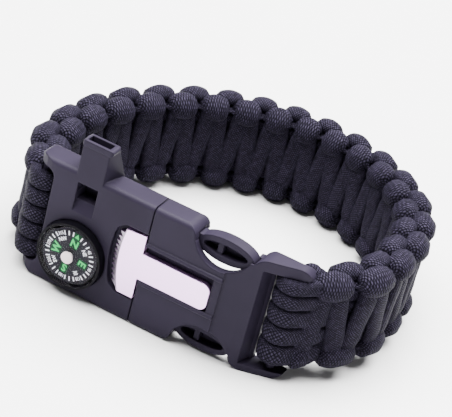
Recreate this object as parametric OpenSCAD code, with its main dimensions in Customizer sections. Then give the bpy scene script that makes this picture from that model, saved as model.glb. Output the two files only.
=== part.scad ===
// Woven cord bracelet with a side-release buckle that carries a compass, a whistle and a scraper.
// The bracelet stands on its edge: X runs along the buckle, Y goes into the loop, Z is up.
// Inside the modules X is measured from the seam of the buckle, Y from its front face
// and Z from its middle height. The last step moves all of it to the shared origin.

/* [Buckle] */
// Height of the buckle
buckle_h = 28; // [27:0.5:29]
// Thickness of the buckle
buckle_t = 6.6; // [6.4:0.1:7.4]
// Radius of the rounded long edges
edge_r = 1.1; // [0.6:0.1:1.4]
// Gap at the seam between the two halves
seam_gap = 0.3; // [0.2:0.1:0.5]
// Length of the compass half, seam to the slot of its cord bar
plate_len = 23.1; // [23:0.1:24]
// Height of the cord slot in the compass half
horn_slot_h = 22.6; // [21:0.2:23]
// Height of the cord slot in the scraper half
ear_slot_h = 22.6; // [21:0.2:22.8]
// Radius of the two cord bars
bar_r = 1; // [0.8:0.1:1.1]

/* [Whistle] */
// Height of the mouthpiece above the buckle
whistle_rise = 7.5; // [7:0.1:9]
// Width of the mouthpiece at its front
whistle_w = 6.1; // [5.5:0.1:6.5]
// Height of the sound window
window_h = 4.2; // [3:0.1:4.5]

/* [Compass] */
// Radius of the compass case at its rim
case_r = 7.4; // [7.2:0.1:7.5]
// Radius of the turning card
card_r = 6.4; // [6:0.1:6.5]
// Rise of the clear cover over the rim of the case
dome_rise = 1.9; // [1.8:0.1:2]

/* [Scraper] */
// Thickness of the scraper
scraper_t = 1.5; // [1.2:0.1:1.6]
// Number of teeth on the head
teeth = 11; // [8:1:14]
// Width of the stem
stem_w = 6; // [5:0.1:6.4]

/* [Band] */
// Height of the woven band
band_h = 22; // [21:0.5:23]
// Thickness of the woven band
band_t = 8.6; // [8:0.2:9]
// Number of knots seen along the outer upper edge
knots = 19.45; // [17.45:1:21.45]
// Share by which the knots open out near the buckle
looseness = 0.16; // [0:0.02:0.2]
// Depth of the dents between two knots
dent = 1.3; // [0.8:0.1:1.6]

/* [Core cords] */
// Thickness of one core cord where it wraps a bar
core_t = 2.6; // [2.4:0.1:2.6]

/* [Hidden] */
$fn = 64;
tiny = 0.01;
half_h = buckle_h / 2;
plastic = [0.16, 0.145, 0.19];
cord = [0.09, 0.085, 0.12];

// Places of the two bars, as X and Y, and the ways that the band leaves them
left_bar = [-26.4, 3.5];
right_bar = [29.8, 6.6];
left_way = 120;
right_way = 48;
left_leg = 2.4;
right_leg = 5.2;
loop_gap = 0.08;
// Heights at which one cord ends and the next begins, from the top, where they wrap the bars
left_edges = [9.7, 5.7, 1.7, -2.3, -6.4, -10.6];
right_edges = [10.1, 6.9, 3.4, -0.8, -5.2, -10.2];

// Compass half
horn_x = -28;
horn_r = [6, 1.8];
horn_foot = 1.8;
slot_mid = 0.4;
end_w = 20;
end_join = 4;
bar_room = 0.3;
room_inset = 0.2;
bar_root = 0.5;
// Plate seen from above: its left end curves back to the tips of the horns
plate_edge = [[0, 0], [0, buckle_t], [-24.4, buckle_t], [-26.2, 6.3], [-27.5, 5.4], [horn_x, 4.2], [-27.9, 3.1],
              [-27.4, 2.1], [-26.6, 1.2], [-25.5, 0.5], [-24.2, 0.1], [-23.2, 0]];
whistle_x = -15.25;
whistle_flare = 1.6;
whistle_back = 3.2;
whistle_foot = 0.4;
whistle_root = 2;
whistle_tip = 0.6;
whistle_half = whistle_w / 2;
whistle_top = half_h + whistle_rise;
lip_h = 1.3;
lip_out = 0.35;
lip_front = -0.15;
lip_t = 3.3;
lip_r = 0.6;
mouth = [5.2, 2.1];
mouth_y = 0.6;
window = [4.7, window_h];
window_z = 7.5;
ramp_h = 2.5;
ramp_d = 1.2;
chamber_d = 4.6;

// Compass
dial = [-15.3, -4.5];
rim_front = -1.9;
flange_t = 2.6;
drum_r = 5.4;
drum_d = 3;
case_wall = 0.8;
case_lip = 0.4;
card_room = 0.25;
fit_gap = 0.15;
card_t = 0.4;
card_front = -1.3;
cover_foot = 0.5;
cover_r = 7;
cover_t = 0.5;
pin_r = 0.4;
pin_gap = 0.05;
pin_top = 0.1;
cap_r = 1.3;
cap_rise = 0.3;
cap_t = 0.35;
hub_r = 0.8;
hub_h = 0.85;

// Sprung arms of the compass half and the windows that they show in
arm_z = 10.6;
arm_front = 2.1;
arm_back = 5;
arm_half_h = 1.4;
arm_root = 2;
bow_x = 15.8;
bow_half = [6.4, 2.7];
bow_wall = 1.4;
bow_depth = 2.2;
bow_rib_x = -1.4;
bow_rib_w = 1.2;
bow_rib_in = 0.5;
bow_points = 40;
side_window = [15.8, 13.4];
side_window_r = 6.4;
// Behind its front rim the window widens in steps, down and to the left
window_steps = [[1.6, [-0.6, -1.04]], [3.3, [-1.19, -2.07]], [5, [-1.75, -3.05]]];
window_top = 11.4;

// Scraper half
shoulder_x = 9.7;
shoulder_r = 2.6;
step_x = 17.6;
step_d = 0.4;
neck_half = 11;
ear_x = [22.2, 33.6];
ear_z = [-13.9, 12.7];
ear_r = 3;
ear_back_r = 2.2;
ear_from = 14;
ear_slot_mid = -1.05;
slot_x = 24.4;
// Slanted inner wall of the cord slot, seen from above
slot_wall = [[24.3, 2.5], [24.4, 2.5], [25.3, 5.5], [26, 6.1], [26, 7.6], [24.3, 7.6]];
flare_t = 8.9;
channel_z = [-3.1, 4.9];
channel_d = scraper_t - 0.2;
channel_end = 0.15;
rail_w = 1;
rail_h = 0.45;
rail_r = 0.4;
tunnel_gap = 0.25;
// Curved front and back of the flared end, seen from above, from the step to its tip
flare_front = [[20.5, 1.1], [22.5, 1.6], [24.4, 2.3], [27, 3.2], [29.5, 4.2], [31.8, 5.1], [33, 5.8],
               [33.5, 6.8]];
flare_back = [[33.3, 8], [32.6, 8.6], [31, 8.7], [28.6, 8.3], [26, 7.8], [22, 7]];

// Scraper
head_x = [-6.75, -0.2];
head_z = [-7.85, 7.1];
head_corner = [[-4.1, -7.85], [-4.9, 6.7]];
head_r = 27.7;
head_mid = 0.9;
head_gap = 0.45;
pocket_points = 12;
pocket_gap = 0.8;
pocket_round = 1.6;
stem_r = 1.6;
stem_root = 4;
tooth_z = [-6.7, 6.1];
tooth_d = 1.2;
tooth_skew = 0.35;
// The toothed edge is ground down to a slope
ground_w = 1.5;
ground_rise = 0.7;
stem_end = 15.6;

// Route of the middle of the band, from the left bar round to the right bar, as X and Y
left_end = left_bar + left_leg * way(left_way);
right_end = right_bar + right_leg * way(right_way);
route = [left_end, [-31.8, 13], [-33.8, 22.5], [-33.9, 31.8], [-31.6, 42], [-26.4, 52.6], [-17.8, 62.6],
         [-6.4, 69.6], [5.2, 72.2], [17, 70.6], [27.4, 65.4], [36, 56.2], [40.3, 44.8], [41.4, 32.4],
         [40.2, 20.6], right_end];
last = len(route) - 1;
steps_per_span = 24;
rings_per_knot = 8;
first_knot = -0.2;
knot_r = 2.4;
valley = 1.3;
face_dip = 0.5;
face_rib = 0.35;
face_crown = 0.12;
sag_from = 7;
sag_over = 62;

function way(a) = [cos(a), sin(a)];
function hyp(v) = sqrt(v[0] * v[0] + v[1] * v[1]);
function unit(v) = v / hyp(v);
function lefthand(v) = [-v[1], v[0]];

// Heading of the route at one of its points, exact at both ends
function heading(i) =
    i == 0 ? way(left_way) * hyp(route[1] - route[0])
    : i == last ? -way(right_way) * hyp(route[last] - route[last - 1])
    : (route[i + 1] - route[i - 1]) / 2;

// Smooth curve through the route, at a share t of the span after point i
function curve_at(i, t) =
    (2 * t * t * t - 3 * t * t + 1) * route[i]
    + (t * t * t - 2 * t * t + t) * heading(i)
    + (3 * t * t - 2 * t * t * t) * route[i + 1]
    + (t * t * t - t * t) * heading(i + 1);

fine = [for (i = [0:last - 1]) for (j = [0:steps_per_span - 1]) curve_at(i, j / steps_per_span), route[last]];
lengths = [for (i = [0:len(fine) - 2]) hyp(fine[i + 1] - fine[i])];
run = [for (i = 0, s = 0; i <= len(lengths); s = s + (i < len(lengths) ? lengths[i] : 0), i = i + 1) s];
band_len = run[len(run) - 1];

// Point and heading at a distance s along the route
function spot(s) =
    let (k = min(len(lengths) - 1, max([0, for (i = [0:len(lengths) - 1]) if (run[i] <= s) i])))
    fine[k] + (fine[k + 1] - fine[k]) * (s - run[k]) / lengths[k];
function facing(s) =
    s <= 0 ? way(left_way)
    : s >= band_len ? -way(right_way)
    : unit(spot(min(band_len, s + 0.4)) - spot(max(0, s - 0.4)));

// Distance along the route for a share u of the knots: they open out near the buckle
function distance(u) = band_len * (u + looseness * sin(360 * u) / (2 * PI));

// The far side sags onto the surface, because the band is lower than the buckle
sag_most = (buckle_h - band_h) / 2;
function sag(p) = -sag_most * min(1, max(0, (p[1] - sag_from) / sag_over));

// Height of a knot above the dents, from 1 on its middle to 0 between two knots
function swell(phase) =
    let (f = 2 * (phase - round(phase)))
    2 * sqrt(1 - 0.75 * f * f) - 1;

// One corner of the cross-section: a row of knots on one edge of the band
function corner(side, up, phase, from) =
    let (r = knot_r - dent * (1 - swell(phase)))
    [for (j = [0:3])
        let (a = from + 90 * j / 3)
        [side * (band_t / 2 - knot_r) + r * cos(a), up * (band_h / 2 - knot_r) + r * sin(a)]];

// Cross-section, as distance from the middle line and height, anticlockwise from the outer face
function section(phase) =
    let (face = band_t / 2 - face_dip + face_rib * cos(720 * phase))
    concat(
        [[face + face_crown, 0], [face, band_h / 4]],
        corner(1, 1, phase, 0),
        [[0, band_h / 2 - valley]],
        corner(-1, 1, phase + 0.5, 90),
        [[-face, band_h / 4], [-face - face_crown, 0], [-face, -band_h / 4]],
        corner(-1, -1, phase, 180),
        [[0, -band_h / 2 + valley]],
        corner(1, -1, phase + 0.5, 270),
        [[face, -band_h / 4]]);

rings = round(knots * rings_per_knot);
band_rings = [for (i = [0:rings])
    let (s = distance(i / rings))
    let (p = spot(s))
    let (n = lefthand(facing(s)))
    [for (q = section(first_knot + knots * i / rings)) [p[0] + n[0] * q[0], p[1] + n[1] * q[0], q[1] + sag(p)]]];
band_points = [for (ring = band_rings) for (p = ring) p];
around = len(band_rings[0]);

// Middle of everything, seen from above
x_all = [for (p = band_points) p[0]];
y_all = [for (p = band_points) p[1]];
front_y = rim_front - dome_rise;
mid = [(min(x_all) + max(x_all)) / 2, (front_y + max(y_all)) / 2];

module in_place() { translate([-mid[0], -mid[1], half_h]) children(); }

// A drawing in X and Z, made solid from y0 to y1
module front_view(y0, y1) {
    translate([0, y1, 0]) rotate([90, 0, 0]) linear_extrude(y1 - y0) children();
}

// A drawing in Y and Z, made solid from x0 to x1
module side_view(x0, x1) {
    translate([x0, 0, 0]) rotate([90, 0, 90]) linear_extrude(x1 - x0) children();
}

// A drawing in X and Y, made solid from z0 to z1
module plan_view(z0, z1) {
    translate([0, 0, z0]) linear_extrude(z1 - z0) children();
}

module rounded(from, to, r) {
    translate([from[0] + r, from[1]]) square([to[0] - from[0] - 2 * r, to[1] - from[1]]);
    translate([from[0], from[1] + r]) square([to[0] - from[0], to[1] - from[1] - 2 * r]);
    for (x = [from[0] + r, to[0] - r]) for (y = [from[1] + r, to[1] - r]) translate([x, y]) circle(r);
}

// A turned shape whose axis is the axis of the compass, drawn as radius and distance behind the face
module turned() {
    translate([dial[0], 0, dial[1]]) rotate([-90, 0, 0]) rotate_extrude() children();
}

function oval(w, h) = [for (i = [0:bow_points - 1])
    let (a = 360 * i / bow_points)
    [w * cos(a), h * sin(a)]];

module plate_outline() {
    slot_half = horn_slot_h / 2;
    difference() {
        union() {
            intersection() {
                rounded([horn_x, -half_h], [horn_x + end_w, half_h], horn_r[0]);
                translate([horn_x, -half_h]) square([end_w, half_h]);
            }
            intersection() {
                rounded([horn_x, -half_h], [horn_x + end_w, half_h], horn_r[1]);
                translate([horn_x, 0]) square([end_w, half_h]);
            }
        }
        // Slot of the cord bar, open to the left and rounded where it meets the plate
        translate([horn_x - 1, slot_mid + horn_foot - slot_half])
            square([-plate_len - horn_x + 1, 2 * (slot_half - horn_foot)]);
        translate([horn_x - 1, slot_mid - slot_half])
            square([-plate_len - horn_x + 1 - horn_foot, horn_slot_h]);
        for (up = [-1, 1])
            translate([-plate_len - horn_foot, slot_mid + up * (slot_half - horn_foot)]) circle(horn_foot);
    }
    translate([-plate_len + end_join, -half_h]) square([plate_len - end_join - seam_gap / 2, buckle_h]);
}

module plate_profile() { rounded([0, -half_h], [buckle_t, half_h], edge_r); }

module mouthpiece() {
    back = buckle_t - whistle_foot;
    intersection() {
        plan_view(half_h - whistle_root, whistle_top - whistle_tip)
            polygon([[whistle_x - whistle_half, 0], [whistle_x + whistle_half, 0],
                     [whistle_x + whistle_half + whistle_flare, buckle_t],
                     [whistle_x - whistle_half - whistle_flare, buckle_t]]);
        side_view(whistle_x - whistle_w, whistle_x + whistle_w)
            polygon([[0, half_h - whistle_root], [0, whistle_top], [whistle_back, whistle_top],
                     [whistle_back, whistle_top - lip_h], [back, half_h], [back, half_h - whistle_root]]);
    }
    // Rounded lip round the mouth
    lip_x = [whistle_x - whistle_half - lip_out, whistle_x + whistle_half + 2 * lip_out];
    intersection() {
        front_view(lip_front, lip_t) rounded([lip_x[0], whistle_top - lip_h], [lip_x[1], whistle_top], lip_r);
        plan_view(half_h, whistle_top + 1) rounded([lip_x[0], lip_front], [lip_x[1], lip_t], lip_r);
    }
}

// Air way of the whistle: slot mouth, window on the face and the ramp below it
module air_way() {
    translate([whistle_x - mouth[0] / 2, mouth_y, window_z + window_h / 2])
        cube([mouth[0], mouth[1], whistle_top]);
    translate([whistle_x - window[0] / 2, -1, window_z]) cube([window[0], chamber_d + 1, window[1]]);
    side_view(whistle_x - window[0] / 2, whistle_x + window[0] / 2)
        polygon([[-1, window_z - ramp_h], [0, window_z - ramp_h], [ramp_d, window_z + tiny],
                 [chamber_d, window_z + tiny], [-1, window_z + tiny]]);
}

module arm(up) {
    difference() {
        front_view(arm_front, arm_back) {
            translate([-arm_root, up * arm_z - arm_half_h])
                square([bow_x - bow_half[0] + 2 * arm_root, 2 * arm_half_h]);
            translate([bow_x, up * arm_z]) polygon(oval(bow_half[0], bow_half[1]));
        }
        // Pocket of the bow, with a rib left in it
        difference() {
            front_view(arm_front - 1, arm_front + bow_depth) translate([bow_x, up * arm_z])
                polygon(oval(bow_half[0] - bow_wall, bow_half[1] - bow_wall));
            translate([bow_x + bow_rib_x - bow_rib_w / 2, arm_front + bow_rib_in, up * arm_z - bow_half[1]])
                cube([bow_rib_w, bow_depth, 2 * bow_half[1]]);
        }
    }
}

module compass_half() {
    color(plastic) in_place() {
        difference() {
            union() {
                intersection() {
                    front_view(0, buckle_t) plate_outline();
                    side_view(horn_x, 0) plate_profile();
                    plan_view(-half_h, half_h) polygon(plate_edge);
                }
                mouthpiece();
            }
            air_way();
            // Seat of the compass: rim and drum
            turned() square([case_r + fit_gap, rim_front + flange_t + fit_gap / 3]);
            turned() square([drum_r + fit_gap, rim_front + flange_t + drum_d + fit_gap / 3]);
            // Recess for the head of the scraper
            front_view(-1, channel_d)
                polygon(concat([[1, head_z[0] - head_gap], [1, head_z[1] + head_gap]], pocket_edge()));
            // Room for the cords beside the bar
            translate([left_bar[0], left_bar[1], slot_mid - horn_slot_h / 2 + room_inset])
                cylinder(r = core_t + bar_r + bar_room, h = horn_slot_h - 2 * room_inset);
        }
        translate([left_bar[0], left_bar[1], slot_mid - horn_slot_h / 2 - bar_root])
            cylinder(r = bar_r, h = horn_slot_h + 2 * bar_root);
        arm(1);
        arm(-1);
    }
}

module sleeve_outline() {
    difference() {
        union() {
            translate([seam_gap / 2, -half_h]) square([shoulder_x / 2, buckle_h]);
            rounded([seam_gap / 2, -half_h], [shoulder_x, half_h], shoulder_r);
            translate([seam_gap / 2, -neck_half]) square([slot_x - seam_gap / 2, 2 * neck_half]);
            rounded([ear_x[0], ear_z[0]], [ear_x[1], ear_z[1]], ear_r);
        }
        for (up = [-1, 1]) translate([side_window[0], up * side_window[1]]) circle(side_window_r);
        translate([slot_x, ear_slot_mid - ear_slot_h / 2]) square([ear_x[1], ear_slot_h]);
    }
}

module sleeve_plan() {
    polygon(concat([[0, 0], [step_x, 0], [step_x, step_d]], flare_front, flare_back,
                   [[step_x, buckle_t], [0, buckle_t]]));
}

// Raised rail along one edge of the channel, with its lower side at height z
module rail(z) {
    side_view(seam_gap / 2, step_x) rounded([-rail_h, z], [1, z + rail_w], rail_r);
}

// Side window and the part that it gains by a shift, below the height at which the shoulder ends
module wide_window(up, shift) {
    intersection() {
        hull() for (part = [0, 1])
            translate([side_window[0] + part * shift[0], up * (side_window[1] + part * shift[1])])
                circle(side_window_r);
        translate([0, up > 0 ? 0 : -window_top]) square([ear_x[1], window_top]);
    }
}

module scraper_half() {
    color(plastic) in_place() {
        difference() {
            union() {
                intersection() {
                    front_view(0, flare_t) sleeve_outline();
                    plan_view(-half_h, half_h) sleeve_plan();
                    union() {
                        side_view(0, ear_from) plate_profile();
                        side_view(ear_from - tiny, ear_x[1]) rounded([0, ear_z[0]], [flare_t, ear_z[1]], ear_back_r);
                    }
                }
                rail(channel_z[1]);
                rail(channel_z[0] - rail_w);
            }
            // Channel of the scraper
            front_view(-1, channel_d) translate([-1, channel_z[0]])
                square([stem_end + channel_end + 1, channel_z[1] - channel_z[0]]);
            // Tunnels for the two arms, with room for their bows, and the windows behind their front rims
            for (up = [-1, 1]) {
                translate([-1, arm_front - tunnel_gap, up * arm_z - arm_half_h - tunnel_gap])
                    cube([bow_x - arm_root, arm_back - arm_front + 2 * tunnel_gap, 2 * (arm_half_h + tunnel_gap)]);
                front_view(arm_front - tunnel_gap, arm_back + tunnel_gap) translate([bow_x, up * arm_z])
                    polygon(oval(bow_half[0] + tunnel_gap, bow_half[1] + tunnel_gap));
                for (step = window_steps) front_view(step[0], flare_t + 1) wide_window(up, step[1]);
            }
        }
        plan_view(ear_slot_mid - ear_slot_h / 2 - tiny, ear_slot_mid + ear_slot_h / 2 + tiny) polygon(slot_wall);
        translate([right_bar[0], right_bar[1], ear_slot_mid - ear_slot_h / 2 - bar_root])
            cylinder(r = bar_r, h = ear_slot_h + 2 * bar_root);
    }
}

// Left edge of the head at height z, an arc that bows out in the middle
function head_edge(z) = head_x[0] + head_r - sqrt(head_r * head_r - pow(z - head_mid, 2));

// Toothed edge of the head, from its upper to its lower corner
function tooth_edge() = [for (i = [0:2 * teeth])
    let (z = tooth_z[1] - (tooth_z[1] - tooth_z[0]) * i / (2 * teeth))
    i % 2 == 0 ? [head_edge(z) + tooth_d, z - tooth_skew] : [head_edge(z), z]];

// Edge of the recess round the head, a little outside its arc
function pocket_edge() = [for (i = [0:pocket_points])
    let (z = head_z[1] + head_gap - (head_z[1] - head_z[0] + 2 * head_gap) * i / pocket_points)
    [head_edge(z) - pocket_gap + pocket_round * pow(abs(2 * i / pocket_points - 1), 12), z]];

module scraper() {
    front = channel_d - scraper_t;
    color([0.86, 0.82, 0.87]) in_place() {
        intersection() {
            front_view(front, channel_d) {
                polygon(concat([[head_x[1], head_z[1]], head_corner[1]], tooth_edge(),
                               [head_corner[0], [head_x[1], head_z[0]]]));
                rounded([head_x[1] - stem_root, -stem_w / 2], [stem_end, stem_w / 2], stem_r);
            }
            // Slope of the ground edge, as a wide cone round the middle of the arc
            translate([head_x[0] + head_r, front, head_mid]) rotate([-90, 0, 0])
                cylinder(r1 = head_r - ground_w, r2 = head_r - ground_w + scraper_t * ground_w / ground_rise,
                         h = scraper_t, $fn = 180);
        }
    }
}

module compass_case() {
    color([0.05, 0.05, 0.07]) in_place() {
        back = rim_front + flange_t + drum_d;
        difference() {
            union() {
                turned() translate([0, rim_front]) square([case_r, flange_t]);
                turned() translate([0, rim_front + flange_t - tiny]) square([drum_r, drum_d + tiny]);
            }
            turned() translate([0, rim_front - 1])
                square([card_r + case_lip, card_front - rim_front + card_t + card_room + 1]);
            turned() translate([0, card_front]) square([drum_r - case_wall, back - case_wall - card_front]);
        }
    }
}

// Radius of the sphere that passes through a rim of radius r and rises by h
function dome_radius(r, h) = (r * r + h * h) / (2 * h);

module cap_shape(r, h) {
    big = dome_radius(r, h);
    intersection() {
        translate([0, big - h]) circle(big, $fn = 180);
        translate([0, -h - 1]) square([r, h + 1]);
    }
}

module compass_cover() {
    color([0.8, 0.85, 0.9, 0.3]) in_place() {
        translate([dial[0], rim_front, dial[1]]) rotate([-90, 0, 0]) rotate_extrude() difference() {
            cap_shape(cover_r, dome_rise);
            cap_shape(cover_r - cover_foot, dome_rise - cover_t);
        }
    }
}

module compass_card() {
    color([0.03, 0.03, 0.05]) in_place() {
        turned() translate([pin_r + pin_gap, card_front]) square([card_r - pin_r - pin_gap, card_t]);
    }
}

// Hub of the card: a short neck with a wider, slightly domed cap
module pivot_cap() {
    color([0.85, 0.79, 0.79]) in_place() {
        translate([dial[0], card_front, dial[1]]) rotate([-90, 0, 0]) rotate_extrude() {
            translate([0, -hub_h - tiny]) square([hub_r, hub_h + tiny]);
            translate([0, -hub_h - cap_t]) square([cap_r, cap_t]);
            translate([0, -hub_h - cap_t + tiny]) cap_shape(cap_r, cap_rise);
        }
    }
}

module pivot_pin() {
    color([0.7, 0.68, 0.66]) in_place() {
        floor_y = rim_front + flange_t + drum_d - case_wall;
        turned() translate([0, card_front + pin_top]) square([pin_r, floor_y - card_front - pin_top]);
    }
}

module paracord_band() {
    n = len(band_rings);
    sides = [for (i = [0:n - 2]) for (j = [0:around - 1])
        let (a = i * around + j)
        let (b = i * around + (j + 1) % around)
        each [[a, b + around, b], [a, a + around, b + around]]];
    ends = [[for (j = [0:around - 1]) j], [for (j = [0:around - 1]) n * around - 1 - j]];
    color(cord) in_place() polyhedron(points = band_points, faces = concat(sides, ends), convexity = 6);
}

// Cords side by side, as a section at a distance r from the bar
module core_section(r, edges) {
    half_t = core_t / 2;
    for (i = [0:len(edges) - 2]) {
        w = edges[i] - edges[i + 1];
        translate([r + half_t, edges[i] - w / 2]) {
            square([core_t, w - core_t], center = true);
            for (up = [-1, 1]) translate([0, up * (w - core_t) / 2]) circle(half_t - tiny);
        }
    }
}

module core_loops(bar, way_out, leg, edges) {
    r = bar_r + loop_gap;
    color(cord) in_place() translate([bar[0], bar[1], 0]) rotate([0, 0, way_out]) {
        rotate([0, 0, 90]) rotate_extrude(angle = 180) core_section(r, edges);
        for (side = [-1, 1]) scale([1, side, 1])
            rotate([90, 0, 90]) linear_extrude(leg) core_section(r, edges);
    }
}

module left_core_loops() { core_loops(left_bar, left_way, left_leg, left_edges); }

module right_core_loops() { core_loops(right_bar, right_way, right_leg, right_edges); }

compass_half();
scraper_half();
scraper();
compass_case();
compass_cover();
compass_card();
pivot_cap();
pivot_pin();
paracord_band();
left_core_loops();
right_core_loops();
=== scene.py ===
"""Looks of a woven cord bracelet with a buckle that carries a compass, a whistle and a scraper."""
import math

import bpy
import numpy as np
from mathutils import Matrix, Vector

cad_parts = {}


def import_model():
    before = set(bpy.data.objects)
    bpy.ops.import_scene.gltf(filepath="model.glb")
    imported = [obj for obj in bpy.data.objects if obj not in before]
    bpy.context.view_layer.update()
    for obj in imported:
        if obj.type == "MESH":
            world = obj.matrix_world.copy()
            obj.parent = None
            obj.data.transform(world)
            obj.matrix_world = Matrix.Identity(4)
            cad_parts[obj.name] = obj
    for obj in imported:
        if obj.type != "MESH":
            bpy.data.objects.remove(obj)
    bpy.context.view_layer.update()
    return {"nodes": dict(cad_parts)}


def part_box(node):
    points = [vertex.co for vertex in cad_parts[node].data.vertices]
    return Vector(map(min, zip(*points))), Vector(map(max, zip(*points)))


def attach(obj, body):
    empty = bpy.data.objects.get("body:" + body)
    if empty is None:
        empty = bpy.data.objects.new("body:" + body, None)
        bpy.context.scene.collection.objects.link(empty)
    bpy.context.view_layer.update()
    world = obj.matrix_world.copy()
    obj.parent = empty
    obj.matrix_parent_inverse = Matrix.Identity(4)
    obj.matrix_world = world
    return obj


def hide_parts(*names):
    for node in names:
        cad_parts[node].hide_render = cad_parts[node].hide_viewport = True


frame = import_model()

MM = 0.001

# Sizes that the solids have too, in millimetres
BUCKLE_H = 28
BAND_H = 22
BAND_T = 8.6
SEAM_HALF = 0.15
CASE_PROUD = 1.9

# Origin of the buckle's own sizes: seam, front face, middle height
ORIGIN = np.array([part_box("scraper_half")[0].x - SEAM_HALF * MM,
                   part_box("compass_case")[0].y + CASE_PROUD * MM,
                   BUCKLE_H / 2 * MM])


def world(p):
    """Points in the buckle's own sizes, in millimetres, as metres in the shared frame."""
    return ORIGIN + np.asarray(p, float) * MM


def run_along(points):
    """Distance along a line of points, from its first one."""
    steps = np.linalg.norm(np.diff(points, axis=0), axis=1)
    return np.concatenate([[0], np.cumsum(steps)])


# Camera, at the photograph's angle: angles in radians, places in the buckle's own millimetres
AZIMUTH = math.radians(19.33)
ELEVATION = math.radians(30)
ROLL = math.radians(15.45)
DISTANCE = 387.93
AIM = (14.19, 0, 21.01)
FOCAL_PX = 1999.54
IMAGE_W = 452
SENSOR = 36
CLIP_NEAR = 0.01
CLIP_FAR = 20


def make_camera():
    flat = math.cos(ELEVATION)
    back = np.array([math.sin(AZIMUTH) * flat, -math.cos(AZIMUTH) * flat, math.sin(ELEVATION)])
    level = np.array([math.cos(AZIMUTH), math.sin(AZIMUTH), 0])
    upright = np.cross(back, level)
    right = math.cos(ROLL) * level + math.sin(ROLL) * upright
    up = -math.sin(ROLL) * level + math.cos(ROLL) * upright
    place = world(np.array(AIM) + DISTANCE * back)
    cam = bpy.data.objects.new("camera", bpy.data.cameras.new("camera"))
    cam.data.sensor_width = SENSOR
    cam.data.sensor_fit = "HORIZONTAL"
    cam.data.lens = FOCAL_PX * SENSOR / IMAGE_W
    cam.data.clip_start = CLIP_NEAR
    cam.data.clip_end = CLIP_FAR
    cam.matrix_world = Matrix([[right[i], up[i], back[i], place[i]] for i in range(3)] + [[0, 0, 0, 1]])
    bpy.context.scene.collection.objects.link(cam)
    bpy.context.scene.camera = cam


make_camera()


# Materials
def rgba(r, g, b):
    """A colour given as it looks on a screen, 0 to 255, as linear light."""
    return [((c / 255 + 0.055) / 1.055) ** 2.4 if c > 10 else c / 255 / 12.92 for c in (r, g, b)] + [1]


def darker(colour, share):
    """The colour less a share of its light, or with more of it where the share is negative."""
    return [c * (1 - share) for c in colour[:3]] + [1]


class Nodes:
    """Shorthand for a material's node tree."""

    def __init__(self, name):
        self.mat = bpy.data.materials.new(name)
        self.mat.use_nodes = True
        self.tree = self.mat.node_tree
        self.shader = self.tree.nodes["Principled BSDF"]

    def add(self, kind, **values):
        node = self.tree.nodes.new("ShaderNode" + kind)
        for key, value in values.items():
            setattr(node, key, value)
        return node

    def link(self, a, b):
        self.tree.links.new(a, b)

    def math(self, op, a, b=None, c=None, clamp=False):
        node = self.add("Math", operation=op, use_clamp=clamp)
        for k, v in enumerate((a, b, c)):
            if v is None:
                continue
            if isinstance(v, (int, float)):
                node.inputs[k].default_value = v
            else:
                self.link(v, node.inputs[k])
        return node.outputs[0]

    def coord(self, kind):
        return self.add("TexCoord").outputs[kind]

    def noise(self, scale, detail, rough=0.5):
        """Noise over the object, its scale in waves a metre."""
        node = self.add("TexNoise")
        node.inputs["Scale"].default_value = scale
        node.inputs["Detail"].default_value = detail
        node.inputs["Roughness"].default_value = rough
        self.link(self.coord("Object"), node.inputs["Vector"])
        return node.outputs["Fac"]

    def ramp(self, value, stops):
        node = self.add("ValToRGB")
        els = node.color_ramp.elements
        els[0].position, els[0].color = stops[0]
        els[1].position, els[1].color = stops[-1]
        for pos, col in stops[1:-1]:
            els.new(pos).color = col
        self.link(value, node.inputs["Fac"])
        return node.outputs["Color"]

    def bump(self, height, strength, depth, normal=None):
        node = self.add("Bump")
        node.inputs["Strength"].default_value = strength
        node.inputs["Distance"].default_value = depth
        self.link(height, node.inputs["Height"])
        if normal is not None:
            self.link(normal, node.inputs["Normal"])
        return node.outputs["Normal"]

    def round_edges(self, radius):
        node = self.add("Bevel", samples=8)
        node.inputs["Radius"].default_value = radius
        return node.outputs["Normal"]

    def colour(self, value):
        self.link(value, self.shader.inputs["Base Color"])

    def relief(self, normal):
        self.link(normal, self.shader.inputs["Normal"])

    def set(self, **values):
        for key, value in values.items():
            self.shader.inputs[key.replace("_", " ")].default_value = value


def moulded(name, colour, rough, edge):
    """Moulded plastic: even, satin, with a fine grain, faint flow marks and softened edges."""
    flow_scale, flow_share = 90, 0.12
    gloss_scale, gloss_range = 400, 0.12
    grain_scale, grain, grain_depth = 5200, 0.06, 0.04 * MM
    n = Nodes(name)
    flow = [(0.3, darker(colour, flow_share)), (0.7, darker(colour, -flow_share))]
    n.colour(n.ramp(n.noise(flow_scale, 3), flow))
    gloss = n.math("MULTIPLY_ADD", n.noise(gloss_scale, 2), gloss_range, rough - gloss_range / 2)
    n.link(gloss, n.shader.inputs["Roughness"])
    n.relief(n.bump(n.noise(grain_scale, 1), grain, grain_depth, n.round_edges(edge)))
    n.set(Specular_IOR_Level=0.04)
    return n.mat


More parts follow.
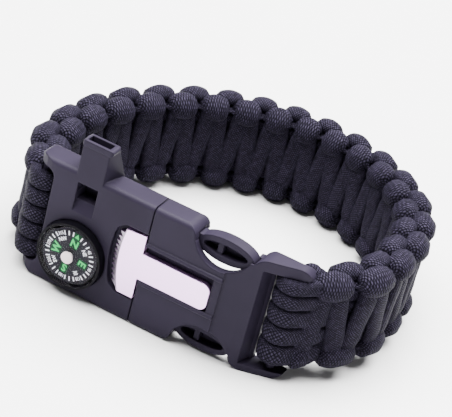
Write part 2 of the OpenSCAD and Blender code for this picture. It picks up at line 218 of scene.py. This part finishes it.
def braided():
    """Black braided sheath: two families of threads that pass over and under, from the cord's own UV, with
    painted highlights on the thread crowns and painted shade between them.
    """
    crown_power, arch_power = 2.6, 3.0
    fleck_scale, fleck_rough, fleck_gain, fleck_base = 1500, 0.6, 1.3, 0.05
    thread_relief, thread_depth = 0.8, 0.18 * MM
    n = Nodes("cord_sheath")
    uv = n.add("SeparateXYZ")
    n.link(n.coord("UV"), uv.inputs["Vector"])
    along, around = uv.outputs["X"], uv.outputs["Y"]
    a = n.math("ADD", along, around)
    b = n.math("SUBTRACT", along, around)
    over = n.math("MODULO", n.math("ADD", n.math("FLOOR", a), n.math("FLOOR", b)), 2.0)
    over = n.math("GREATER_THAN", n.math("ABSOLUTE", over), 0.5)

    def swell(x, power):
        """One in the middle of each thread and nothing at its sides."""
        centred = n.math("SUBTRACT", n.math("MULTIPLY", n.math("FRACT", x), 2.0), 1.0)
        return n.math("SUBTRACT", 1.0, n.math("POWER", n.math("ABSOLUTE", centred), power))

    def thread(x, y):
        """One family: crowned across, and arched along where it passes over."""
        return n.math("MULTIPLY", swell(x, crown_power), swell(y, arch_power))

    height = n.math("ADD", n.math("MULTIPLY", thread(b, a), over),
                    n.math("MULTIPLY", thread(a, b), n.math("SUBTRACT", 1.0, over)))
    # Painted light: the colour is lighter on the crowns of the threads (painted highlight) and darker
    # between them (painted shade); random flecks of tone set how bright each crown is
    fleck = n.noise(fleck_scale, 2, fleck_rough)
    fleck_tone_and_sheen = n.math("MULTIPLY_ADD", fleck, fleck_gain, fleck_base, clamp=True)
    painted_thread_light = n.math("MULTIPLY", height, fleck_tone_and_sheen, clamp=True)
    n.colour(n.ramp(painted_thread_light, [(0.0, rgba(6, 5, 9)), (0.4, rgba(19, 17, 25)), (0.95, rgba(52, 47, 63))]))
    n.relief(n.bump(height, thread_relief, thread_depth))
    n.set(Roughness=0.6, Specular_IOR_Level=0.02)
    return n.mat


def plain(name, colour, rough, grain, metallic=0.0, edge=0.1 * MM, shine=0.1):
    """A smooth printed, painted or metal surface with a little mottling."""
    mottle_scale, mottle_share = 312.5, 0.06
    grain_scale, grain_depth = 2500, 0.03 * MM
    n = Nodes(name)
    n.colour(n.ramp(n.noise(mottle_scale, 3), [(0.3, darker(colour, mottle_share)), (0.7, colour)]))
    n.relief(n.bump(n.noise(grain_scale, 2), grain, grain_depth, n.round_edges(edge)))
    n.set(Roughness=rough, Metallic=metallic, Specular_IOR_Level=shine)
    return n.mat


def ground_steel():
    """Brushed steel with painted shade: its colour is greyer where its surface faces left, which darkens
    the ground slope and the flanks of the teeth.
    """
    mottle_scale, mottle_range = 375, 0.04
    grain_scale, grain, grain_depth = 3000, 0.15, 0.03 * MM
    n = Nodes("scraper_steel")
    facing = n.add("SeparateXYZ")
    n.link(n.coord("Normal"), facing.inputs["Vector"])
    # Painted shade: faces that point left are coloured grey, the rest pale pink
    left = n.math("MULTIPLY_ADD", facing.outputs["X"], 0.5, 0.5)
    mottle = n.math("MULTIPLY_ADD", n.noise(mottle_scale, 3), mottle_range, -mottle_range / 2)
    n.colour(n.ramp(n.math("ADD", left, mottle), [(0.3, rgba(150, 140, 154)), (0.44, rgba(224, 186, 232))]))
    n.relief(n.bump(n.noise(grain_scale, 2), grain, grain_depth, n.round_edges(0.15 * MM)))
    n.set(Roughness=0.4, Metallic=1.0)
    return n.mat


def clear_cover():
    """Clear polished cover: lets the light through, and shows the room at its rim and top."""
    gloss_rough, clear_tint = 0.12, (0.97, 0.97, 0.98, 1)
    wave_scale, wave, wave_depth = 300, 0.01, 0.02 * MM
    rim_power, rim_gloss, face_gloss = 6.0, 0.2, 0.003
    n = Nodes("clear_cover")
    gloss = n.add("BsdfGlossy")
    gloss.inputs["Roughness"].default_value = gloss_rough
    n.link(n.bump(n.noise(wave_scale, 1), wave, wave_depth), gloss.inputs["Normal"])
    clear = n.add("BsdfTransparent")
    clear.inputs["Color"].default_value = clear_tint
    rim = n.math("POWER", n.add("LayerWeight").outputs["Facing"], rim_power)
    mix = n.add("MixShader")
    n.link(n.math("MULTIPLY_ADD", rim, rim_gloss, face_gloss, clamp=True), mix.inputs[0])
    n.link(clear.outputs[0], mix.inputs[1])
    n.link(gloss.outputs[0], mix.inputs[2])
    n.link(mix.outputs[0], n.tree.nodes["Material Output"].inputs["Surface"])
    return n.mat


plastic = moulded("buckle_plastic", rgba(31, 27, 38), 0.42, 0.45 * MM)
sheath = braided()
steel = ground_steel()
case_black = plain("case_black", rgba(8, 7, 11), 0.3, 0.02, edge=0.12 * MM, shine=0.04)
card_black = plain("card_black", rgba(17, 14, 23), 0.5, 0.08)
print_white = plain("print_white", rgba(236, 236, 242), 0.55, 0.1)
print_green = plain("print_green", rgba(44, 182, 92), 0.55, 0.1)
green_ground = plain("green_ground", rgba(2, 44, 20), 0.55, 0.1)
cap_pale = plain("cap_pale", rgba(226, 208, 208), 0.3, 0.06, edge=0.15 * MM)
pin_metal = plain("pin_metal", rgba(190, 184, 180), 0.35, 0.1, metallic=0.9)

LOOKS = {
    "compass_half": plastic,
    "scraper_half": plastic,
    "scraper": steel,
    "compass_case": case_black,
    "compass_cover": clear_cover(),
    "compass_card": card_black,
    "pivot_cap": cap_pale,
    "pivot_pin": pin_metal,
    "paracord_band": sheath,
    "left_core_loops": sheath,
    "right_core_loops": sheath,
}
for name, mat in LOOKS.items():
    mesh = frame["nodes"][name].data
    mesh.materials.clear()
    mesh.materials.append(mat)


def new_piece(name, points, faces, mat, body, uv=None):
    """A mesh piece in the shared frame, from points in metres. One with UVs is shaded smooth."""
    mesh = bpy.data.meshes.new(name)
    mesh.from_pydata([tuple(p) for p in points], [], [tuple(f) for f in faces])
    if uv is not None:
        layer = mesh.uv_layers.new(name="UVMap")
        layer.data.foreach_set("uv", np.asarray(uv, np.float32).ravel())
        mesh.polygons.foreach_set("use_smooth", [True] * len(mesh.polygons))
    mesh.materials.append(mat)
    obj = bpy.data.objects.new(name, mesh)
    bpy.context.scene.collection.objects.link(obj)
    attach(obj, body)
    return obj


# Print on the compass card, in millimetres: ticks, numbers, letters and the mark at north
DIAL = np.array([-15.3, -4.5])
CARD_Y = -1.3
PRINT_T = 0.04
# How far the back of the print lies off the card, as a share of its thickness
PRINT_BACK = 0.25
# Way that north points on the card, in degrees up from the buckle's length
NORTH = 80
TICKS = 32
TICK_OUT, TICK_LEN, TICK_HALF = 5.65, 0.95, 0.12
GREEN_R, WHITE_R, NUMBER_R = 3.25, 3.85, 5.15
GREEN_SIZE, GREEN_BOLD = 1.75, 0.03
WHITE_SIZE, WHITE_BOLD, WHITE_SQUEEZE = 0.85, 0.015, 0.9
NUMBER_SIZE, NUMBER_SQUEEZE = 0.75, 0.8
NORTH_MARK = [(-0.55, -0.5), (0.55, -0.5), (0, 0.6)]
GROUND_HALF, LETTER_GROUND, MARK_GROUND = 0.95, 2.3, 1.4


def letter(text, size, bold):
    """A word in the built-in font, as flat points round its own middle and its faces."""
    curve = bpy.data.curves.new(text, "FONT")
    curve.body = text
    curve.align_x = "CENTER"
    curve.offset = bold
    curve.resolution_u = 3
    obj = bpy.data.objects.new(text, curve)
    bpy.context.scene.collection.objects.link(obj)
    bpy.context.view_layer.update()
    mesh = bpy.data.meshes.new_from_object(obj)
    pts = np.array([v.co[:2] for v in mesh.vertices])
    faces = [list(f.vertices) for f in mesh.polygons]
    bpy.data.objects.remove(obj)
    bpy.data.curves.remove(curve)
    bpy.data.meshes.remove(mesh)
    low, high = pts.min(0), pts.max(0)
    return (pts - (low + high) / 2) * size / (high[1] - low[1]), faces


class Print:
    """One colour of print on the card, gathered into one piece."""

    def __init__(self, lift):
        self.lift = lift
        self.points = []
        self.faces = []

    def add(self, pts, faces, bearing, radius, squeeze=1.0):
        """Flat points with their top outward, at a bearing clockwise from north and a radius."""
        a = math.radians(NORTH - bearing)
        out = np.array([math.cos(a), math.sin(a)])
        side = np.array([math.sin(a), -math.cos(a)])
        pts = np.asarray(pts)
        flat = DIAL + (pts[:, :1] * squeeze) * side + (pts[:, 1:] + radius) * out
        start = len(self.points)
        y = CARD_Y - PRINT_T * self.lift
        self.points += [(x, y, z) for x, z in flat]
        self.faces += [[start + i for i in f] for f in faces]

    def bar(self, half, length, bearing, radius):
        corners = [(-half, -length / 2), (half, -length / 2), (half, length / 2), (-half, length / 2)]
        self.add(corners, [[0, 1, 2, 3]], bearing, radius)

    def word(self, text, size, bold, bearing, radius, squeeze=1.0):
        pts, faces = letter(text, size, bold)
        self.add(pts, faces, bearing, radius, squeeze)

    def piece(self, name, mat):
        """The print as a thin raised layer, closed at its front, sides and back."""
        front = np.array(self.points)
        back = front + [0, PRINT_T * (self.lift - PRINT_BACK), 0]
        n = len(front)
        edges = dict.fromkeys((i, j) for f in self.faces for i, j in zip(f, f[1:] + f[:1]))
        walls = [[i, j, j + n, i + n] for i, j in edges if (j, i) not in edges]
        backs = [[i + n for i in f[::-1]] for f in self.faces]
        points = world(np.concatenate([front, back]))
        return new_piece(name, points, self.faces + backs + walls, mat, "card")


def card_print():
    # The green grounds lie one layer of ink lower than the letters on them
    white = Print(2)
    green = Print(2)
    ground = Print(1)
    # The numbers and the mark at north take the place of every fourth tick
    for k in range(TICKS):
        if k % 4:
            white.bar(TICK_HALF, TICK_LEN, k * 360 / TICKS, TICK_OUT - TICK_LEN / 2)
    for bearing in (90, 180, 270, 45, 135, 225, 315):
        white.word(str(bearing), NUMBER_SIZE, 0.0, bearing, NUMBER_R, NUMBER_SQUEEZE)
    green.add(NORTH_MARK, [[0, 1, 2]], 0, NUMBER_R)
    ground.bar(GROUND_HALF, MARK_GROUND, 0, NUMBER_R)
    for k, text in enumerate("NESW"):
        green.word(text, GREEN_SIZE, GREEN_BOLD, 90 * k, GREEN_R)
        ground.bar(GROUND_HALF, LETTER_GROUND, 90 * k, GREEN_R)
    for k, text in enumerate(("NE", "SE", "SW", "NW")):
        white.word(text, WHITE_SIZE, WHITE_BOLD, 45 + 90 * k, WHITE_R, WHITE_SQUEEZE)
    white.piece("card_white_print", print_white)
    green.piece("card_green_letters", print_green)
    ground.piece("card_green_grounds", green_ground)


card_print()


def way(a):
    return np.array([math.cos(a), math.sin(a)])


# The two cord bars: their place, the way that the cords leave them, and how far the straight legs reach
BAR_R = 1
LEFT_BAR, LEFT_OUT, LEFT_LEG = np.array([-26.4, 3.5]), way(math.radians(120)), 2.4
RIGHT_BAR, RIGHT_OUT, RIGHT_LEG = np.array([29.8, 6.6]), way(math.radians(48)), 5.2

# Route of the middle of the band, from the left bar round to the right bar, as X and Y in millimetres
ROUTE = np.array([
    LEFT_BAR + LEFT_LEG * LEFT_OUT,
    [-31.8, 13], [-33.8, 22.5], [-33.9, 31.8], [-31.6, 42], [-26.4, 52.6], [-17.8, 62.6], [-6.4, 69.6],
    [5.2, 72.2], [17, 70.6], [27.4, 65.4], [36, 56.2], [40.3, 44.8], [41.4, 32.4], [40.2, 20.6],
    RIGHT_BAR + RIGHT_LEG * RIGHT_OUT,
])
ROUTE_STEPS = 60
# Reach to each side over which the band's direction is taken
REACH = 0.4


def fine_route():
    """The same smooth curve as the solid band's, in small steps, with the distance along it."""
    last = len(ROUTE) - 1
    head = np.zeros_like(ROUTE)
    head[0] = LEFT_OUT * np.linalg.norm(ROUTE[1] - ROUTE[0])
    head[last] = -RIGHT_OUT * np.linalg.norm(ROUTE[last] - ROUTE[last - 1])
    head[1:-1] = (ROUTE[2:] - ROUTE[:-2]) / 2
    t = np.linspace(0, 1, ROUTE_STEPS, endpoint=False)[:, None]
    start, leave = 2 * t**3 - 3 * t**2 + 1, t**3 - 2 * t**2 + t
    stop, arrive = 3 * t**2 - 2 * t**3, t**3 - t**2
    parts = [start * ROUTE[i] + leave * head[i] + stop * ROUTE[i + 1] + arrive * head[i + 1]
             for i in range(last)]
    pts = np.concatenate(parts + [ROUTE[last:]])
    return pts, run_along(pts)


LINE, RUN = fine_route()
BAND_LEN = RUN[-1]


def on_route(s):
    """Points of the route at distances s, held to its two ends."""
    return np.stack([np.interp(np.clip(s, 0, BAND_LEN), RUN, LINE[:, k]) for k in (0, 1)], -1)


def spot(s):
    """Middle of the band and its outward side at distances s, carried straight on past both ends."""
    s = np.asarray(s, float)
    inside = np.clip(s, 0, BAND_LEN)
    t = on_route(inside + REACH) - on_route(inside - REACH)
    t = t / np.linalg.norm(t, axis=-1, keepdims=True)
    t = np.where((s <= 0)[..., None], LEFT_OUT, np.where((s >= BAND_LEN)[..., None], -RIGHT_OUT, t))
    p = on_route(inside) + t * (s - inside)[..., None]
    out = np.stack([-t[..., 1], t[..., 0]], -1)
    return p, out


# The band sinks from the buckle's middle height to the floor over this stretch of Y
SAG_FROM, SAG_OVER = 7, 62
# The bights stand a little proud of the solid band's outline, so the far side rests on them
PROUD = 0.55


def sag(y):
    drop = (BUCKLE_H - BAND_H) / 2 - PROUD
    return -drop * np.clip((y - SAG_FROM) / SAG_OVER, 0, 1)


# Knots on each edge, how much wider they lie near the buckle, and where the first one lies
KNOTS, LOOSENESS, FIRST_KNOT = 19.45, 0.16, -0.2


def distance(phase):
    """Distance along the route for a phase in knots: they open out near the buckle."""
    u = (np.asarray(phase, float) - FIRST_KNOT) / KNOTS
    inner = np.clip(u, 0, 1)
    wave = LOOSENESS * np.sin(2 * np.pi * inner) / (2 * np.pi)
    return BAND_LEN * (inner + wave + (1 + LOOSENESS) * (u - inner))


def knot_length(phase):
    """Distance that one knot takes at a phase."""
    u = np.clip((phase - FIRST_KNOT) / KNOTS, 0, 1)
    return BAND_LEN / KNOTS * (1 + LOOSENESS * np.cos(2 * np.pi * u))


def in_band(phase, w, v):
    """Points in metres from phase, distance outward and height on the band."""
    p, out = spot(distance(phase))
    height = np.asarray(v) + sag(p[..., 1])
    p = p + out * np.asarray(w)[..., None]
    return world(np.concatenate([p, height[..., None]], -1))


# Outline of the band's cross-section: flat faces and edges with round corners
CORNER = 3.2
SIDE_LEN = BAND_H - 2 * CORNER
EDGE_LEN = BAND_T - 2 * CORNER
ARC_LEN = math.pi / 2 * CORNER
HALF_ROUND = SIDE_LEN + EDGE_LEN + 2 * ARC_LEN
EDGE_MID = HALF_ROUND / 2


def skin(q, depth):
    """Outward distance and height of a point in the cross-section.

    q runs round the outline from the middle of the outer face over the upper edge, and depth is how
    far the point lies inside the outline.
    """
    q = (np.asarray(q, float) + HALF_ROUND) % (2 * HALF_ROUND) - HALF_ROUND
    up = np.where(q < 0, -1, 1)
    x = np.abs(q)
    face_end = SIDE_LEN / 2
    edge_start = face_end + ARC_LEN
    edge_end = edge_start + EDGE_LEN
    back_start = edge_end + ARC_LEN
    quarter = math.pi / 2
    turn = np.select(
        [x < face_end, x < edge_start, x < edge_end, x < back_start],
        [0 * x, (x - face_end) / CORNER, quarter + 0 * x, quarter + (x - edge_end) / CORNER], math.pi)
    out = EDGE_LEN / 2 - np.clip(x - edge_start, 0, EDGE_LEN)
    height = np.where(x < face_end, x, SIDE_LEN / 2 - np.maximum(x - back_start, 0))
    r = CORNER - np.asarray(depth)
    return out + r * np.cos(turn), up * (height + r * np.sin(turn))


# Threads round the cord, and the length that each crossing of threads takes along it
THREADS = 20
THREAD_PITCH = 0.62


def tube_faces(rings, around):
    """Faces between neighbouring rings of points."""
    i = np.arange(rings - 1)[:, None] * around
    j = np.arange(around)[None]
    k = (j + 1) % around
    return np.stack([i + j, i + k, i + around + k, i + around + j], -1).reshape(-1, 4)


def tube_uv(rings):
    """Face corner UVs of a tube, both counted in threads, from its rings of points."""
    count, around = rings.shape[:2]
    along = run_along(rings.mean(1)) / (THREAD_PITCH * MM)
    one = np.ones((count - 1, around))
    a0 = along[:-1, None] * one
    a1 = along[1:, None] * one
    r0 = np.arange(around)[None] / around * THREADS * one
    r1 = (np.arange(around)[None] + 1) / around * THREADS * one
    corners = [(a0, r0), (a0, r1), (a1, r1), (a1, r0)]
    return np.stack([np.stack(corner, -1) for corner in corners], 2).reshape(-1, 2)


def section(around, power):
    """A rounded flat cross-section, as across and thick shares from -1 to 1."""
    a = np.linspace(0, 2 * np.pi, around, endpoint=False)
    c, s = np.cos(a), np.sin(a)
    return np.sign(c) * np.abs(c)**power, np.sign(s) * np.abs(s)**power


# The knot: how one working cord lies, as phase, way round the outline, depth, half width and half
# thickness. The bight runs along the edge on the skin, and both its ends dive and cross the far face
# under the other cord's bights.
BIGHT = [
    (-0.32, EDGE_MID + 9.4, 1.7, 2.2, 1.2),
    (-0.36, EDGE_MID + 6.0, 2.3, 1.9, 1.25),
    (-0.41, EDGE_MID + 2.0, 3.4, 1.6, 1.3),
    (-0.44, EDGE_MID - 1.6, 3.8, 1.7, 1.4),
    (-0.45, EDGE_MID - 3.5, 3.9, 1.9, 1.4),
    (-0.40, EDGE_MID - 3.6, 2.9, 3.2, 1.7),
    (-0.31, EDGE_MID - 3.6, 1.75, 3.95, 1.9),
    (0.0, EDGE_MID - 3.6, 1.2, 4.3, 2.0),
]
# Depth, half width and half thickness in the middle of each crossing of the far face
CROSSING = (1.7, 2.15, 1.15)
# Rough length of one knot, which sets how fine the curve through the keys is
KNOT_STEP = 8.8
# Stretch of the band, in knots, that carries the working cords, and rings in each closed tip
FIRST_SEEN, LAST_SEEN = -0.42, 19.6
TIP_RINGS, TIP_SHARE = 4, 0.1
CORD_STEP, CORD_AROUND, CORD_POWER = 0.55, 18, 0.8
# Keeps a step of no length from being divided by nothing
TINY = 1e-9


def working_keys(front):
    """Keys of one working cord, with its bights on the outer face (front 1) or the inner one (-1)."""
    keys = []
    first = 0 if front > 0 else -0.5
    far_middle = HALF_ROUND if front > 0 else 0.0
    for k in range(-1, 2 * math.ceil(KNOTS) + 3):
        middle = first + k / 2
        up = 1 if k % 2 == 0 else -1
        before = [(middle + d, *rest) for d, *rest in BIGHT]
        after = [(middle - d, *rest) for d, *rest in BIGHT[-2::-1]]
        for phase, q, depth, half_w, half_t in before + after:
            if front < 0:
                q = HALF_ROUND - q
            q = up * q
            # The crossing on the far face stays on one side of the outline's seam
            if front > 0 and up < 0:
                q = q + 2 * HALF_ROUND
            keys.append((phase, q, depth, half_w, half_t))
        keys.append((middle + 0.25, far_middle, *CROSSING))
    return np.array(keys)


def smooth_path(keys):
    """Rows of numbers in small steps along a smooth curve through the keys."""
    pad = np.concatenate([2 * keys[:1] - keys[1:2], keys, 2 * keys[-1:] - keys[-2:-1]])
    rows = []
    for i in range(len(keys) - 1):
        p0, p1, p2, p3 = pad[i:i + 4]
        length = np.hypot((p2 - p1)[0] * KNOT_STEP, (p2 - p1)[1])
        n = max(2, int(round(length / CORD_STEP)))
        t = np.linspace(0, 1, n, endpoint=False)[:, None]
        square = 2 * p0 - 5 * p1 + 4 * p2 - p3
        cube = 3 * p1 - p0 - 3 * p2 + p3
        rows.append(0.5 * (2 * p1 + (p2 - p0) * t + square * t**2 + cube * t**3))
    rows.append(keys[-1:])
    return np.concatenate(rows)


def seen_rows(rows):
    """The rows on the band, from the first phase that is seen to the last one."""
    middle = len(rows) // 2
    first = np.nonzero(rows[:middle, 0] < FIRST_SEEN)[0][-1] + 1
    last = np.nonzero((rows[:, 0] > LAST_SEEN) & (np.arange(len(rows)) > middle))[0][0]
    return rows[first:last]


def working_piece(name, front):
    """One working cord as a tube that follows the band, flattened and turned with its own path."""
    phase, q, depth, half_w, half_t = seen_rows(smooth_path(working_keys(front))).T
    # Both ends narrow to a closed tip inside the band
    order = np.arange(len(phase))
    ends = np.clip(np.minimum(order, order[::-1]) / TIP_RINGS, 0, 1)
    tip = np.sqrt(1 - (1 - ends)**2) * (1 - TIP_SHARE) + TIP_SHARE
    half_w = half_w * tip
    half_t = half_t * tip
    depth = depth + (1 - tip)
    per = knot_length(phase)
    ds = np.gradient(phase) * per
    dq = np.gradient(q)
    size = np.hypot(ds, dq) + TINY
    across, thick = section(CORD_AROUND, CORD_POWER)
    off = half_w[:, None] * across[None]
    ring_phase = phase[:, None] - off * (dq / size / per)[:, None]
    ring_q = q[:, None] + off * (ds / size)[:, None]
    w, v = skin(ring_q, depth[:, None] - half_t[:, None] * thick[None])
    rings = in_band(ring_phase, w, v)
    count = len(rings)
    faces = [list(f) for f in tube_faces(count, CORD_AROUND)]
    caps = [list(range(CORD_AROUND))[::-1], list(range((count - 1) * CORD_AROUND, count * CORD_AROUND))]
    uv = np.concatenate([tube_uv(rings), np.zeros((2 * CORD_AROUND, 2))])
    return new_piece(name, rings.reshape(-1, 3), faces + caps, sheath, "bracelet", uv)


outer_cord = working_piece("working_cord_outer", 1)
working_piece("working_cord_inner", -1)


# Core cords: the edges between neighbouring cords on the two bars, from the top down
LEFT_EDGES = [9.7, 5.7, 1.7, -2.3, -6.4, -10.6]
RIGHT_EDGES = [10.1, 6.9, 3.4, -0.8, -5.2, -10.2]
CORES = 5
CORE_T, LOOP_GAP = 2.6, 0.08
LOOP_R = BAR_R + LOOP_GAP + CORE_T / 2
CORE_AROUND, CORE_POWER = 16, 0.6
# Inside the band they lie closer together, squeezed by the knots
INNER_STEP, INNER_HALF_T = 2.9, 0.86
SQUEEZE_FROM, SQUEEZE_OVER = 0.3, 6
# Rows of points round a bar, and the stretch and the rows of each straight leg
ARC_ROWS = 20
LEFT_SPAN, LEFT_ROWS = (0.15, LEFT_LEG - 0.3), 5
RIGHT_SPAN, RIGHT_ROWS = (0.3, RIGHT_LEG - 0.3), 9
# Rows along the band: close together near both ends
END_ZONE, END_ROWS = 8, 14
MIDDLE_FROM, MIDDLE_ROWS = 9.5, 90


class CoreLoop:
    """Closed loop of one core cord: rows of centre, outward side, half width and half thickness."""

    def __init__(self, index):
        edges = [(e[index], e[index + 1]) for e in (LEFT_EDGES, RIGHT_EDGES)]
        self.places = [((top + low) / 2, (top - low) / 2) for top, low in edges]
        self.inner_z = (CORES // 2 - index) * INNER_STEP
        self.rows = []

    def arc(self, end, bar, out):
        """Half a turn round a bar, on the side away from the band."""
        z, half_w = self.places[end]
        base = math.atan2(out[1], out[0])
        for t in np.linspace(-90, -270, ARC_ROWS):
            side = way(base + math.radians(t))
            c = bar + LOOP_R * side
            self.rows.append((*c, z, *side, half_w, CORE_T / 2))

    def leg(self, end, bar, out, side, stretch, count):
        """A straight leg between a bar and the band."""
        z, half_w = self.places[end]
        for t in np.linspace(*stretch, count):
            c = bar + out * t + side * LOOP_R
            self.rows.append((*c, z, *side, half_w, CORE_T / 2))

    def along(self, side, stretch):
        """A run through the band, on its outer side (1) or its inner side (-1)."""
        for s in stretch:
            p, out = spot(s)
            near = min(s, BAND_LEN - s)
            t = min(1, max(0, (near - SQUEEZE_FROM) / SQUEEZE_OVER))
            t = t * t * (3 - 2 * t)
            z, half_w = self.places[0 if s < BAND_LEN / 2 else 1]
            c = p + out * side * (LOOP_R * (1 - t) + INNER_HALF_T * t)
            height = z * (1 - t) + self.inner_z * t + float(sag(p[1]))
            self.rows.append((*c, height, *(out * side), half_w * (1 - t) + INNER_STEP / 2 * t,
                              CORE_T / 2 * (1 - t) + INNER_HALF_T * t))

    def build(self):
        left_side = np.array([-LEFT_OUT[1], LEFT_OUT[0]])
        right_side = np.array([RIGHT_OUT[1], -RIGHT_OUT[0]])
        steps = np.concatenate([np.linspace(0, END_ZONE, END_ROWS),
                                np.linspace(MIDDLE_FROM, BAND_LEN - MIDDLE_FROM, MIDDLE_ROWS),
                                np.linspace(BAND_LEN - END_ZONE, BAND_LEN, END_ROWS)])
        self.leg(0, LEFT_BAR, LEFT_OUT, left_side, LEFT_SPAN, LEFT_ROWS)
        self.along(1, steps)
        self.leg(1, RIGHT_BAR, RIGHT_OUT, right_side, RIGHT_SPAN[::-1], RIGHT_ROWS)
        self.arc(1, RIGHT_BAR, RIGHT_OUT)
        self.leg(1, RIGHT_BAR, RIGHT_OUT, -right_side, RIGHT_SPAN, RIGHT_ROWS)
        self.along(-1, steps[::-1])
        self.leg(0, LEFT_BAR, LEFT_OUT, -left_side, LEFT_SPAN[::-1], LEFT_ROWS)
        self.arc(0, LEFT_BAR, LEFT_OUT)
        return np.array(self.rows)


def core_piece(index):
    """One core cord as a closed tube, flat across its outward side."""
    rows = CoreLoop(index).build()
    n = len(rows)
    c = rows[:, :3]
    t = np.roll(c, -1, 0) - np.roll(c, 1, 0)
    t /= np.linalg.norm(t, axis=1, keepdims=True)
    outward = np.concatenate([rows[:, 3:5], np.zeros((n, 1))], 1)
    outward -= t * (outward * t).sum(1, keepdims=True)
    outward /= np.linalg.norm(outward, axis=1, keepdims=True)
    wide = np.cross(t, outward)
    across, thick = section(CORE_AROUND, CORE_POWER)
    shift_w = wide[:, None] * (rows[:, 5, None] * across[None])[..., None]
    shift_t = outward[:, None] * (rows[:, 6, None] * thick[None])[..., None]
    rings = world(c[:, None] + shift_w + shift_t)
    closed = np.concatenate([rings, rings[:1]])
    faces = tube_faces(n + 1, CORE_AROUND) % (n * CORE_AROUND)
    return new_piece("core_cord_%d" % (index + 1), rings.reshape(-1, 3), faces, sheath, "bracelet",
                     tube_uv(closed))


cores = [core_piece(i) for i in range(CORES)]
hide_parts("paracord_band")
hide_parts("left_core_loops", "right_core_loops")

# Floor and light
FLOOR_HALF = 3.0
FLOOR_DARK = (0.66, 0.66, 0.66, 1)
FLOOR_PALE = (0.68, 0.68, 0.68, 1)
ROOM_LIGHT = 0.3
LIGHT_AIM = Vector((0, 0, 0.015))
# Each lamp's name, place, size and power
LAMPS = [
    ("key", (-0.3, -0.15, 0.9), 0.8, 42),
    ("top", (0.1, 0.35, 0.9), 1.0, 80),
]


def make_floor():
    floor = bpy.data.objects.new("floor", bpy.data.meshes.new("floor"))
    s = FLOOR_HALF
    floor.data.from_pydata([(-s, -s, 0), (s, -s, 0), (s, s, 0), (-s, s, 0)], [], [(0, 1, 2, 3)])
    n = Nodes("floor_white")
    n.colour(n.ramp(n.noise(3, 1), [(0.0, FLOOR_DARK), (1.0, FLOOR_PALE)]))
    n.set(Roughness=0.9, Specular_IOR_Level=0.1)
    floor.data.materials.append(n.mat)
    bpy.context.scene.collection.objects.link(floor)


def make_light():
    room = bpy.data.worlds.new("studio")
    bpy.context.scene.world = room
    room.use_nodes = True
    back = room.node_tree.nodes["Background"]
    back.inputs["Color"].default_value = (1, 1, 1, 1)
    back.inputs["Strength"].default_value = ROOM_LIGHT
    for name, place, size, power in LAMPS:
        lamp = bpy.data.lights.new(name, "AREA")
        lamp.shape = "DISK"
        lamp.size = size
        lamp.energy = power
        obj = bpy.data.objects.new(name, lamp)
        obj.location = place
        obj.rotation_euler = (LIGHT_AIM - Vector(place)).to_track_quat("-Z", "Y").to_euler()
        bpy.context.scene.collection.objects.link(obj)


make_floor()
make_light()
